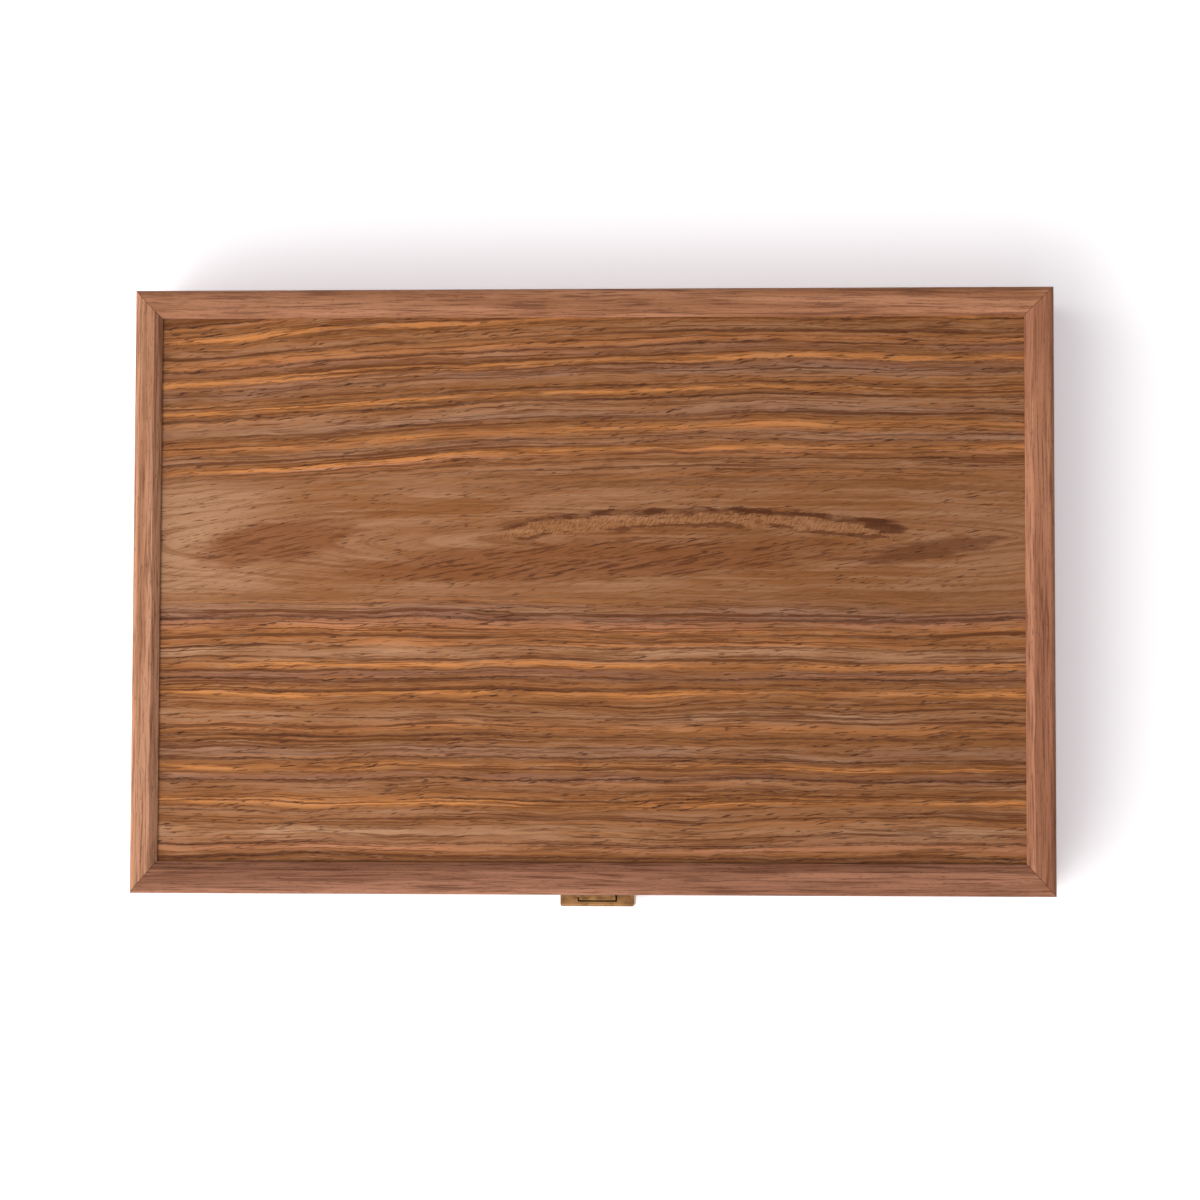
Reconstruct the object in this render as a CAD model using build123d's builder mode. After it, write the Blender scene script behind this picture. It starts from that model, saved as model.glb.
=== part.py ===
"""Folding backgammon case with a checker rack, closed, in millimetres.

X runs along the long side, +Y points to the hinges and -Y to the catch, +Z is up.
The origin is the centre of the closed case's outline, on the surface it lies on.
"""
from build123d import *
import os

# The closed case
case_length = 380.0
case_depth = 250.0
case_height = 52.0
parting_gap = 0.3

# The frame strips, as wide as they look from above
left_width = 11.1
right_width = 12.0
back_width = 11.8
front_width = 13.1
outer_rounding = 2.4
bevel_share = 0.27
bevel_drop = 2.5
rim_easing = 0.5
groove_depth = 5.0
groove_slack = 0.2

# The panel, from the outside in
panel_recess = 3.5
veneer_thickness = 0.6
core_thickness = 3.6

# The rack and the playing field
rack_width = 33.0
divider_thickness = 5.0
divider_below_rim = 1.0
divider_easing = 0.8
points_per_side = 6
point_gap = 1.0
point_length = 147.0
point_tuck = 1.0

# The butt hinges
hinge_offset = 112.0
knuckle_count = 5
base_knuckles = (0, 2, 4)
lid_knuckles = (1, 3)
knuckle_pitch = 6.0
knuckle_gap = 0.3
knuckle_radius = 2.2
knuckle_clearance = 0.2
leaf_thickness = 1.0
leaf_reach = 10.6
hinge_pin_radius = 1.0
pin_snug = 0.02
pin_running = 0.06
pin_end_chamfer = 0.2
leaf_screw_spread = 18.0
leaf_screw_inset = 7.2

# The catch
catch_x = 1.8
housing_width = 31.0
housing_depth = 5.6
housing_top = 24.9
housing_height = 18.4
housing_wall = 0.6
housing_rounding = 1.0
housing_front_easing = 0.5
slot_width = 16.0
slot_reach = 3.65
slot_easing = 0.25
slot_plate = 0.8
cavity_floor = 0.6
button_width = 11.4
button_proud = 0.4
button_low = 8.6
button_high = 13.6
button_rounding = 0.5
window_side_gap = 0.5
window_low_gap = 1.2
window_high_gap = 0.4
lever_thickness = 0.8
lever_setback = 2.8
lever_pivot_z = 16.0
lever_top = 22.8
lever_pin_radius = 0.6
lever_barrel_radius = 1.3
lever_side_gap = 0.2
lever_pin_in_cheek = 1.4
nose_width = 5.0
nose_low = 21.0
nose_high = 22.4
nose_tip_height = 0.6
nose_tip_gap = 0.4
strike_width = 15.2
strike_thickness = 1.2
foot_reach = 3.0
foot_rounding = 0.4
foot_low = 24.6
foot_high = 26.6
strike_high = 40.0
strike_corner = 1.5
tongue_low = 18.6
tongue_near = 0.3
tongue_far = 1.5
tongue_window_width = 6.4
tongue_window_low = 20.7
tongue_window_high = 22.9
spring_z = 11.1
spring_radius = 1.15
spring_wire_radius = 0.22
spring_pitch = 1.0
spring_bore_radius = 1.6
spring_bore_depth = 3.8
spring_end_gap = 0.05
housing_screw_spread = 23.4
housing_screw_z = 15.7
strike_screw_heights = (30.5, 36.5)

# The screws
leaf_screw_head = 1.8
leaf_screw_shank = 0.9
leaf_screw_length = 8.0
catch_screw_head = 2.2
catch_screw_shank = 1.2
housing_screw_length = 13.0
strike_screw_length = 9.2
screw_slot_share = 0.25
screw_slot_overrun = 1.5
screw_slot_depth = 0.5
screw_hole_gap = 0.05
countersink_angle = 90.0
pilot_spare = 0.4

# The playing pieces
checker_radius = 15.0
checker_thickness = 9.0
checker_gap = 0.2
checker_rounding = 1.4
checker_ring_radius = 10.5
checker_ring_depth = 0.6
checkers_per_colour = 15
die_size = 12.0
die_rounding = 1.2
pip_radius = 1.15
pip_spacing = 3.0
pip_sphere_lift = 0.75
dice_gap = 9.0
gap_between_dice = 3.0
first_die_shift = -3.0
second_die_shift = 4.0
first_die_turn = 12.0
second_die_roll = 90.0
cube_size = 18.0
cube_rounding = 1.6

# Places worked out from the dimensions above
hinge_standoff = parting_gap / 2
back_reach = hinge_standoff + knuckle_radius
front_reach = housing_depth + button_proud
front_y = (front_reach - back_reach - case_depth) / 2
back_y = front_y + case_depth
left_x = -case_length / 2
right_x = case_length / 2
parting_z = case_height / 2
rim_z = parting_z - parting_gap / 2
parting_plane = Plane.XY.offset(parting_z)
hinge_y = back_y + hinge_standoff

outer_veneer_z = panel_recess
core_z = outer_veneer_z + veneer_thickness
field_veneer_z = core_z + core_thickness
field_z = field_veneer_z + veneer_thickness

inner_left = left_x + left_width
inner_right = right_x - right_width
inner_front = front_y + front_width
inner_back = back_y - back_width
divider_front = inner_front + rack_width
divider_back = divider_front + divider_thickness
point_pitch = (inner_back - divider_back) / points_per_side

hinge_places = {"left": -hinge_offset, "right": hinge_offset}
leaf_screw_y = back_y - leaf_screw_inset
lever_y = front_y - lever_setback

os.makedirs("parts", exist_ok=True)


def write_node(part, node):
    part.label = node
    export_step(part, f"parts/{node}.step")


def write_mirrored(part, node):
    """The lid's own copy of a base piece, mirrored about the parting plane."""
    with BuildPart() as copy:
        add(part)
        mirror(about=parting_plane, mode=Mode.REPLACE)
    write_node(copy.part, node)


# The mitred frame strips


def strip_profile(width):
    """One strip's section: first coordinate inwards from the case's side, second upwards."""
    bevel = width * bevel_share
    groove = width - groove_depth
    with BuildSketch() as section:
        with BuildLine():
            Polyline(
                (0, 0),
                (width - bevel, 0),
                (width, bevel_drop),
                (width, panel_recess),
                (groove, panel_recess),
                (groove, field_z),
                (width, field_z),
                (width, rim_z),
                (0, rim_z),
                close=True,
            )
        make_face()
        outer_corner = section.vertices().group_by(Axis.X)[0].sort_by(Axis.Y)[0]
        fillet(outer_corner, outer_rounding)
        rim_corners = section.vertices().group_by(Axis.Y)[-1]
        fillet(rim_corners, rim_easing)
    return section.sketch


def frame_strip(start, run, inward, length, width, width_before, width_after):
    """A strip of the base along one side, cut to the mitres at both of its ends."""
    start = Vector(start)
    run = Vector(run)
    inward = Vector(inward)
    end = start + run * length
    mitre_start = inward * width + run * width_before
    mitre_end = inward * width - run * width_after
    overshoot = 0.1
    outline = [
        start - mitre_start * overshoot,
        start + mitre_start * (1 + overshoot),
        end + mitre_end * (1 + overshoot),
        end - mitre_end * overshoot,
    ]
    with BuildPart() as strip:
        with BuildSketch(Plane(origin=start, x_dir=inward, z_dir=run)):
            add(strip_profile(width))
        extrude(amount=length)
        with BuildSketch(Plane.XY):
            Polygon(*[(point.X, point.Y) for point in outline], align=None)
        extrude(amount=case_height, mode=Mode.INTERSECT)
    return strip.part


base_left = frame_strip(
    (left_x, back_y), (0, -1), (1, 0), case_depth, left_width, back_width, front_width
)
base_right = frame_strip(
    (right_x, front_y), (0, 1), (-1, 0), case_depth, right_width, front_width, back_width
)
plain_front = frame_strip(
    (left_x, front_y), (1, 0), (0, 1), case_length, front_width, left_width, right_width
)
plain_back = frame_strip(
    (right_x, back_y), (-1, 0), (0, -1), case_length, back_width, right_width, left_width
)

write_node(base_left, "base_left_rail")
write_mirrored(base_left, "lid_left_rail")
write_node(base_right, "base_right_rail")
write_mirrored(base_right, "lid_right_rail")

# The back strips, with a seat for each hinge leaf, room for the barrel and pilot holes
barrel_length = knuckle_count * knuckle_pitch
with BuildPart() as base_back:
    add(plain_back)
    for x in hinge_places.values():
        with BuildSketch(Plane.YZ.offset(x - barrel_length / 2)):
            with Locations((hinge_y, parting_z)):
                Circle(knuckle_radius + knuckle_clearance)
        extrude(amount=barrel_length, mode=Mode.SUBTRACT)
        with BuildSketch(Plane.XY.offset(rim_z - leaf_thickness)):
            with Locations((x, hinge_y)):
                Rectangle(barrel_length, leaf_reach, align=(Align.CENTER, Align.MAX))
        extrude(amount=leaf_thickness, mode=Mode.SUBTRACT)
        with BuildSketch(Plane.XY.offset(rim_z)):
            with Locations((x, leaf_screw_y)):
                with GridLocations(leaf_screw_spread, 0, 2, 1):
                    Circle(leaf_screw_shank)
        extrude(amount=-leaf_screw_length - pilot_spare, mode=Mode.SUBTRACT)

write_node(base_back.part, "base_back_rail")
write_mirrored(base_back.part, "lid_back_rail")

# The front strips, with pilot holes for the catch's screws and a bore for its spring
housing_screw_places = [
    (catch_x - housing_screw_spread / 2, housing_screw_z),
    (catch_x + housing_screw_spread / 2, housing_screw_z),
]
front_plane = Plane(origin=(0, front_y, 0), x_dir=(1, 0, 0), z_dir=(0, -1, 0))
with BuildPart() as base_front:
    add(plain_front)
    with BuildSketch(front_plane):
        with Locations(*housing_screw_places):
            Circle(catch_screw_shank)
    extrude(amount=housing_depth - housing_screw_length - pilot_spare, mode=Mode.SUBTRACT)
    with BuildSketch(front_plane):
        with Locations((catch_x, spring_z)):
            Circle(spring_bore_radius)
    extrude(amount=-spring_bore_depth, mode=Mode.SUBTRACT)

with BuildPart() as lid_front:
    add(plain_front)
    mirror(about=parting_plane, mode=Mode.REPLACE)
    with BuildSketch(front_plane):
        with Locations(*[(catch_x, z) for z in strike_screw_heights]):
            Circle(catch_screw_shank)
    extrude(amount=strike_thickness - strike_screw_length - pilot_spare, mode=Mode.SUBTRACT)

write_node(base_front.part, "base_front_rail")
write_node(lid_front.part, "lid_front_rail")

# The panel of each half: a core between an outer veneer and the field's veneer

panel_tuck = groove_depth - groove_slack
panel_x = (inner_left + inner_right) / 2
panel_y = (inner_front + inner_back) / 2
panel_length = inner_right - inner_left + 2 * panel_tuck
panel_depth = inner_back - inner_front + 2 * panel_tuck


def panel_layer(low_z, thickness):
    with BuildPart() as layer:
        with BuildSketch(Plane.XY.offset(low_z)):
            with Locations((panel_x, panel_y)):
                Rectangle(panel_length, panel_depth)
        extrude(amount=thickness)
    return layer.part


def point_outline(side, index):
    """A long triangle, with its foot at the left or the right wall, counted from the rack."""
    centre_y = divider_back + (index + 0.5) * point_pitch
    half_foot = (point_pitch - point_gap) / 2
    if side == "left":
        foot_x = inner_left - point_tuck
        tip_x = inner_left + point_length
    else:
        foot_x = inner_right + point_tuck
        tip_x = inner_right - point_length
    return [(foot_x, centre_y - half_foot), (foot_x, centre_y + half_foot), (tip_x, centre_y)]


def points_inlay(colour_offset):
    """Every other point of one half: points that face each other differ in colour."""
    with BuildPart() as inlay:
        with BuildSketch(Plane.XY.offset(field_veneer_z)):
            for index in range(points_per_side):
                side = "left" if index % 2 == colour_offset else "right"
                Polygon(*point_outline(side, index), align=None)
        extrude(amount=veneer_thickness)
    return inlay.part


outer_veneer = panel_layer(outer_veneer_z, veneer_thickness)
core_panel = panel_layer(core_z, core_thickness)
base_light_points = points_inlay(0)
base_dark_points = points_inlay(1)

with BuildPart() as field_veneer:
    add(panel_layer(field_veneer_z, veneer_thickness))
    add(base_light_points, mode=Mode.SUBTRACT)
    add(base_dark_points, mode=Mode.SUBTRACT)

# The divider between the rack and the field
divider_height = rim_z - divider_below_rim - field_z
with BuildPart() as divider:
    with BuildSketch(Plane.XY.offset(field_z)):
        with Locations((panel_x, (divider_front + divider_back) / 2)):
            Rectangle(inner_right - inner_left, divider_thickness)
    extrude(amount=divider_height)
    top_edges = divider.edges().filter_by(Axis.X).group_by(Axis.Z)[-1]
    fillet(top_edges, divider_easing)

write_node(outer_veneer, "base_outer_veneer")
write_mirrored(outer_veneer, "lid_outer_veneer")
write_node(core_panel, "base_core_panel")
write_mirrored(core_panel, "lid_core_panel")
write_node(field_veneer.part, "base_field_veneer")
write_mirrored(field_veneer.part, "lid_field_veneer")
write_node(base_light_points, "base_points_light")
write_mirrored(base_dark_points, "lid_points_light")
write_node(base_dark_points, "base_points_dark")
write_mirrored(base_light_points, "lid_points_dark")
write_node(divider.part, "base_rack_divider")
write_mirrored(divider.part, "lid_rack_divider")

# The screws


def wood_screw(head_radius, shank_radius, length):
    """A slotted countersunk screw, head up at the origin, pointing down."""
    head_height = head_radius - shank_radius
    tip_length = 2 * shank_radius
    slot = head_radius * screw_slot_share
    with BuildPart() as screw:
        with BuildSketch(Plane.XZ):
            with BuildLine():
                Polyline(
                    (0, 0),
                    (head_radius, 0),
                    (shank_radius, -head_height),
                    (shank_radius, tip_length - length),
                    (0, -length),
                    close=True,
                )
            make_face()
        revolve(axis=Axis.Z)
        with BuildSketch(Plane.XY):
            Rectangle(2 * head_radius * screw_slot_overrun, slot)
        extrude(amount=-screw_slot_depth, mode=Mode.SUBTRACT)
    return screw.part


def screws_at(screw, places):
    with BuildPart() as group:
        with Locations(*places):
            add(screw)
    return group.part


leaf_screw = wood_screw(leaf_screw_head, leaf_screw_shank, leaf_screw_length)
housing_screw = wood_screw(catch_screw_head, catch_screw_shank, housing_screw_length)
strike_screw = wood_screw(catch_screw_head, catch_screw_shank, strike_screw_length)

leaf_screw_places = [
    Location((x + side * leaf_screw_spread / 2, leaf_screw_y, rim_z))
    for x in hinge_places.values()
    for side in (-1, 1)
]
into_the_wall = (90, 0, 0)
housing_front_y = front_y - housing_depth
leaf_screws = screws_at(leaf_screw, leaf_screw_places)
housing_screws = screws_at(
    housing_screw,
    [Location((x, housing_front_y, z), into_the_wall) for x, z in housing_screw_places],
)
strike_screws = screws_at(
    strike_screw,
    [
        Location((catch_x, front_y - strike_thickness, z), into_the_wall)
        for z in strike_screw_heights
    ],
)

write_node(leaf_screws, "hinge_screws_base")
write_mirrored(leaf_screws, "hinge_screws_lid")
write_node(housing_screws, "catch_housing_screws")
write_node(strike_screws, "catch_strike_screws")

# The butt hinges


def knuckle_start(x, index):
    return x - barrel_length / 2 + index * knuckle_pitch + knuckle_gap / 2


def hinge_leaf(x, own_knuckles, bore_radius):
    """A leaf as it lies in the base's rim, with its own knuckles round the pin."""
    leaf_length = barrel_length - knuckle_gap
    knuckle_length = knuckle_pitch - knuckle_gap
    notch_length = knuckle_pitch + knuckle_gap
    with BuildPart() as leaf:
        with BuildSketch(Plane.XY.offset(rim_z - leaf_thickness)):
            with Locations((x, hinge_y)):
                Rectangle(leaf_length, leaf_reach, align=(Align.CENTER, Align.MAX))
        extrude(amount=leaf_thickness)
        for index in range(knuckle_count):
            if index not in own_knuckles:
                notch_x = knuckle_start(x, index) - knuckle_gap
                with BuildSketch(Plane.YZ.offset(notch_x)):
                    with Locations((hinge_y, parting_z)):
                        Circle(knuckle_radius + knuckle_clearance)
                extrude(amount=notch_length, mode=Mode.SUBTRACT)
        for index in own_knuckles:
            with BuildSketch(Plane.YZ.offset(knuckle_start(x, index))):
                with Locations((hinge_y, parting_z)):
                    Circle(knuckle_radius)
            extrude(amount=knuckle_length)
        with BuildSketch(Plane.YZ.offset(x - barrel_length / 2)):
            with Locations((hinge_y, parting_z)):
                Circle(bore_radius)
        extrude(amount=barrel_length, mode=Mode.SUBTRACT)
        with Locations((x, leaf_screw_y, rim_z)):
            with GridLocations(leaf_screw_spread, 0, 2, 1):
                CounterSinkHole(
                    leaf_screw_shank + screw_hole_gap,
                    leaf_screw_head + screw_hole_gap,
                    depth=2 * leaf_thickness,
                    counter_sink_angle=countersink_angle,
                )
    return leaf.part


for side, x in hinge_places.items():
    base_leaf = hinge_leaf(x, base_knuckles, hinge_pin_radius + pin_snug)
    lid_leaf = hinge_leaf(x, lid_knuckles, hinge_pin_radius + pin_running)
    with BuildPart() as hinge_pin:
        with BuildSketch(Plane.YZ.offset(x - barrel_length / 2)):
            with Locations((hinge_y, parting_z)):
                Circle(hinge_pin_radius)
        extrude(amount=barrel_length)
        chamfer(hinge_pin.edges().filter_by(GeomType.CIRCLE), pin_end_chamfer)
    write_node(base_leaf, f"hinge_{side}_base_leaf")
    write_mirrored(lid_leaf, f"hinge_{side}_lid_leaf")
    write_node(hinge_pin.part, f"hinge_{side}_pin")

# The catch's housing, screwed to the base: a cast block with a cavity for the lever
housing_low = housing_top - housing_height
cavity_depth = housing_depth - housing_wall
with BuildPart() as housing:
    with BuildSketch(Plane.XY.offset(housing_low)):
        with Locations((catch_x, front_y)):
            Rectangle(housing_width, housing_depth, align=(Align.CENTER, Align.MAX))
    extrude(amount=housing_height)
    side_edges = housing.edges().filter_by(Axis.Z).group_by(Axis.Y)[0]
    fillet(side_edges, housing_rounding)
    end_edges = housing.edges().filter_by(Axis.Y).group_by(Axis.Z)[-1]
    fillet(end_edges, housing_rounding)
    front_edges = housing.edges().filter_by(Axis.X).group_by(Axis.Y)[0]
    chamfer(front_edges, housing_front_easing)
    with BuildSketch(Plane.XY.offset(housing_low + cavity_floor)):
        with Locations((catch_x, front_y)):
            Rectangle(slot_width, cavity_depth, align=(Align.CENTER, Align.MAX))
    extrude(amount=housing_height - cavity_floor - slot_plate, mode=Mode.SUBTRACT)
    with BuildSketch(Plane.XY.offset(housing_top - slot_plate)):
        with Locations((catch_x, front_y)):
            Rectangle(slot_width, slot_reach, align=(Align.CENTER, Align.MAX))
    extrude(amount=slot_plate, mode=Mode.SUBTRACT)
    top_face = housing.faces().sort_by(Axis.Z)[-1]
    slot_ends = top_face.edges().filter_by(Axis.Y).filter_by(
        lambda edge: abs(edge.center().X - catch_x) < slot_width
    )
    chamfer(slot_ends.filter_by(lambda edge: edge.length > slot_easing), slot_easing)
    window_low = button_low - window_low_gap
    window_height = button_high + window_high_gap - window_low
    with BuildSketch(front_plane):
        with Locations((catch_x, window_low)):
            Rectangle(
                button_width + 2 * window_side_gap,
                window_height,
                align=(Align.CENTER, Align.MIN),
            )
    extrude(amount=housing_depth, mode=Mode.SUBTRACT)
    with BuildSketch(Plane.YZ.offset(catch_x)):
        with Locations((lever_y, lever_pivot_z)):
            Circle(lever_pin_radius + pin_snug)
    extrude(amount=slot_width / 2 + lever_pin_in_cheek, both=True, mode=Mode.SUBTRACT)
    with BuildSketch(front_plane):
        with Locations(*housing_screw_places):
            Circle(catch_screw_shank + screw_hole_gap)
    extrude(amount=housing_depth, mode=Mode.SUBTRACT)
    countersink_depth = catch_screw_head - catch_screw_shank
    with BuildSketch(front_plane.offset(housing_depth)):
        with Locations(*housing_screw_places):
            Circle(catch_screw_head + screw_hole_gap)
    extrude(amount=-countersink_depth, taper=countersink_angle / 2, mode=Mode.SUBTRACT)

write_node(housing.part, "catch_housing")

# The catch's lever: a rocker with the button below its pin and the nose above it
lever_front_y = lever_y - lever_thickness / 2
lever_back_y = lever_y + lever_thickness / 2
with BuildPart() as lever:
    with BuildSketch(Plane.XY.offset(button_low)):
        with Locations((catch_x, lever_y)):
            Rectangle(button_width, lever_thickness)
    extrude(amount=lever_top - button_low)
    with BuildSketch(Plane.YZ.offset(catch_x)):
        with Locations((lever_y, lever_pivot_z)):
            Circle(lever_barrel_radius)
    extrude(amount=slot_width / 2 - lever_side_gap, both=True)
    button_front_y = front_y - front_reach
    with BuildSketch(Plane.XY.offset(button_low)):
        with Locations((catch_x, lever_front_y)):
            Rectangle(
                button_width, lever_front_y - button_front_y, align=(Align.CENTER, Align.MAX)
            )
    extrude(amount=button_high - button_low)
    button_rim = lever.faces().sort_by(Axis.Y)[0].edges()
    fillet(button_rim, button_rounding)
    nose_tip_y = front_y - nose_tip_gap
    with BuildSketch(Plane.YZ.offset(catch_x)):
        with BuildLine():
            Polyline(
                (lever_back_y, nose_low),
                (nose_tip_y, nose_low),
                (nose_tip_y, nose_low + nose_tip_height),
                (lever_back_y, nose_high),
                close=True,
            )
        make_face()
    extrude(amount=nose_width / 2, both=True)
    with BuildSketch(Plane.YZ.offset(catch_x)):
        with Locations((lever_y, lever_pivot_z)):
            Circle(lever_pin_radius + pin_running)
    extrude(amount=slot_width / 2, both=True, mode=Mode.SUBTRACT)

write_node(lever.part, "catch_lever")

with BuildPart() as lever_pin:
    with BuildSketch(Plane.YZ.offset(catch_x)):
        with Locations((lever_y, lever_pivot_z)):
            Circle(lever_pin_radius)
    extrude(amount=slot_width / 2 + lever_pin_in_cheek - pin_snug, both=True)

write_node(lever_pin.part, "catch_lever_pin")

# The lever's spring, in its bore in the front strip, pressing the button outwards
spring_back_y = front_y + spring_bore_depth - spring_wire_radius - spring_end_gap
spring_front_y = lever_back_y + spring_wire_radius + spring_end_gap
spring_length = spring_back_y - spring_front_y
with BuildPart() as spring:
    with BuildLine() as coil:
        Helix(
            pitch=spring_pitch,
            height=spring_length,
            radius=spring_radius,
            center=(catch_x, spring_front_y, spring_z),
            direction=(0, 1, 0),
        )
    with BuildSketch(Plane(origin=coil.line @ 0, z_dir=coil.line % 0)):
        Circle(spring_wire_radius)
    sweep(is_frenet=True)

write_node(spring.part, "catch_spring")
print("spring: gap between turns", round(spring_pitch - 2 * spring_wire_radius, 2), "mm")

# The catch's strike on the lid: a plate whose foot fills the housing's slot, with a tongue below
with BuildPart() as strike:
    with BuildSketch(front_plane):
        with Locations((catch_x, foot_low)):
            Rectangle(strike_width, strike_high - foot_low, align=(Align.CENTER, Align.MIN))
    extrude(amount=strike_thickness)
    top_corners = strike.edges().filter_by(Axis.Y).group_by(Axis.Z)[-1]
    fillet(top_corners, strike_corner)
    with BuildSketch(front_plane):
        with Locations((catch_x, foot_low)):
            Rectangle(strike_width, foot_high - foot_low, align=(Align.CENTER, Align.MIN))
    extrude(amount=foot_reach)
    foot_edges = strike.faces().sort_by(Axis.Y)[0].edges()
    fillet(foot_edges, foot_rounding)
    with BuildSketch(Plane.XY.offset(tongue_low)):
        with Locations((catch_x, front_y - tongue_near)):
            Rectangle(strike_width, tongue_far - tongue_near, align=(Align.CENTER, Align.MAX))
    extrude(amount=foot_high - tongue_low)
    with BuildSketch(front_plane):
        with Locations((catch_x, tongue_window_low)):
            Rectangle(
                tongue_window_width,
                tongue_window_high - tongue_window_low,
                align=(Align.CENTER, Align.MIN),
            )
    extrude(amount=tongue_far, mode=Mode.SUBTRACT)
    with BuildSketch(front_plane):
        with Locations(*[(catch_x, z) for z in strike_screw_heights]):
            Circle(catch_screw_shank + screw_hole_gap)
    extrude(amount=strike_thickness, mode=Mode.SUBTRACT)
    with BuildSketch(front_plane.offset(strike_thickness)):
        with Locations(*[(catch_x, z) for z in strike_screw_heights]):
            Circle(catch_screw_head + screw_hole_gap)
    extrude(amount=-countersink_depth, taper=countersink_angle / 2, mode=Mode.SUBTRACT)

write_node(strike.part, "catch_strike")

# The checkers, standing on edge in the base's rack
rack_y = (inner_front + divider_front) / 2
checker_pitch = checker_thickness + checker_gap
with BuildPart() as checker:
    with BuildSketch(Plane.YZ):
        Circle(checker_radius)
    extrude(amount=checker_thickness / 2, both=True)
    fillet(checker.edges().filter_by(GeomType.CIRCLE), checker_rounding)
    for face_x in (-checker_thickness / 2, checker_thickness / 2):
        with BuildSketch(Plane.YZ.offset(face_x)):
            Circle(checker_ring_radius)
        extrude(amount=checker_ring_depth, both=True, mode=Mode.SUBTRACT)


def checker_row(first):
    first_x = inner_left + checker_gap + checker_thickness / 2
    centre_z = field_z + checker_radius
    with BuildPart() as row:
        for index in range(first, first + checkers_per_colour):
            with Locations((first_x + index * checker_pitch, rack_y, centre_z)):
                add(checker.part)
    return row.part


write_node(checker_row(0), "checkers_light")
write_node(checker_row(checkers_per_colour), "checkers_dark")

# The dice, with their pips sunk as shallow dimples, and the doubling cube
row_end_x = inner_left + 2 * checkers_per_colour * checker_pitch
first_die_x = row_end_x + dice_gap + die_size / 2
second_die_x = first_die_x + die_size + gap_between_dice
cube_x = second_die_x + die_size / 2 + dice_gap + cube_size / 2
near = pip_spacing
pips_by_value = {
    1: [(0, 0)],
    2: [(-near, -near), (near, near)],
    3: [(-near, -near), (0, 0), (near, near)],
    4: [(-near, -near), (-near, near), (near, -near), (near, near)],
    5: [(-near, -near), (-near, near), (0, 0), (near, -near), (near, near)],
    6: [(-near, -near), (-near, 0), (-near, near), (near, -near), (near, 0), (near, near)],
}
faces_by_value = {
    1: Plane.XY,
    6: Plane.XY.rotated((180, 0, 0)),
    2: Plane.XZ,
    5: Plane.XZ.rotated((0, 0, 180)),
    3: Plane.YZ,
    4: Plane.YZ.rotated((0, 0, 180)),
}

with BuildPart() as die:
    Box(die_size, die_size, die_size)
    fillet(die.edges(), die_rounding)
    for value, face in faces_by_value.items():
        with Locations(face.offset(die_size / 2 + pip_sphere_lift)):
            with Locations(*[(u, v, 0) for u, v in pips_by_value[value]]):
                Sphere(pip_radius, mode=Mode.SUBTRACT)

die_z = field_z + die_size / 2
first_die_place = (first_die_x, rack_y + first_die_shift, die_z)
second_die_place = (second_die_x, rack_y + second_die_shift, die_z)
with BuildPart() as dice:
    with Locations(Location(first_die_place, (0, 0, first_die_turn))):
        add(die.part)
    with Locations(Location(second_die_place, (0, second_die_roll, 0))):
        add(die.part)

with BuildPart() as doubling_cube:
    with Locations((cube_x, rack_y, field_z + cube_size / 2)):
        Box(cube_size, cube_size, cube_size)
    fillet(doubling_cube.edges(), cube_rounding)

write_node(dice.part, "dice")
write_node(doubling_cube.part, "doubling_cube")
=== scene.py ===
"""The look of a folding backgammon case: figured veneer, mitred strips, brass and playing pieces.

Lengths in the shaders are millimetres in the object's own frame, everything else is metres.
"""
import math

import bpy
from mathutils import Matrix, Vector


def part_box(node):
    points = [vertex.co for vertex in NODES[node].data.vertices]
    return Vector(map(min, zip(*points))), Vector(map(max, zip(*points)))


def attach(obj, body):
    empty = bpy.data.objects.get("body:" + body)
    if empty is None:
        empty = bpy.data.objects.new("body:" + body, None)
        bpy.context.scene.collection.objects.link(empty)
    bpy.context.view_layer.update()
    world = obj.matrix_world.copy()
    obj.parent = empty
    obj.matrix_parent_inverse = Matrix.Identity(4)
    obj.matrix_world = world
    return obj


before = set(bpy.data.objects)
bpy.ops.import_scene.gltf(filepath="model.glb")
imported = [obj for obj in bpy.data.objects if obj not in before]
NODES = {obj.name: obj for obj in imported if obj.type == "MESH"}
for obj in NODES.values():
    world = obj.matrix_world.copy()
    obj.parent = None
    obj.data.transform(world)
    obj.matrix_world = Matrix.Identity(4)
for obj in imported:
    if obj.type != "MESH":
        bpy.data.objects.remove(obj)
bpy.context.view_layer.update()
MM = 0.001


# Places worked out from the frame
def extent(node):
    """The low and high corners of a node's box, in millimetres."""
    low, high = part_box(node)
    return Vector(low) / MM, Vector(high) / MM


case_low = extent("lid_front_rail")[0]
case_high = extent("lid_back_rail")[1]
case_centre_y = (case_low.y + case_high.y) / 2


# The photograph's camera, nearly straight above the case
CAMERA_PLACE = (0.067, -0.0762, 1.345)
CAMERA_TILT_X = math.radians(3.27)
CAMERA_TILT_Y = math.radians(2.79)
CAMERA_LENS = 94.7
SENSOR_WIDTH = 36.0


def make_camera():
    data = bpy.data.cameras.new("camera")
    data.lens = CAMERA_LENS
    data.sensor_width = SENSOR_WIDTH
    camera = bpy.data.objects.new("camera", data)
    camera.rotation_mode = "ZYX"
    camera.rotation_euler = (CAMERA_TILT_X, CAMERA_TILT_Y, 0.0)
    camera.location = CAMERA_PLACE
    bpy.context.scene.collection.objects.link(camera)
    bpy.context.scene.camera = camera


# Short names for the shader nodes used again and again
def linear(red, green, blue):
    """A linear colour with alpha from one written as 0 to 255, by the sRGB curve."""
    channels = []
    for value in (red, green, blue):
        share = value / 255
        if share <= 0.04045:
            channels.append(share / 12.92)
        else:
            channels.append(((share + 0.055) / 1.055) ** 2.4)
    return (*channels, 1.0)


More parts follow.
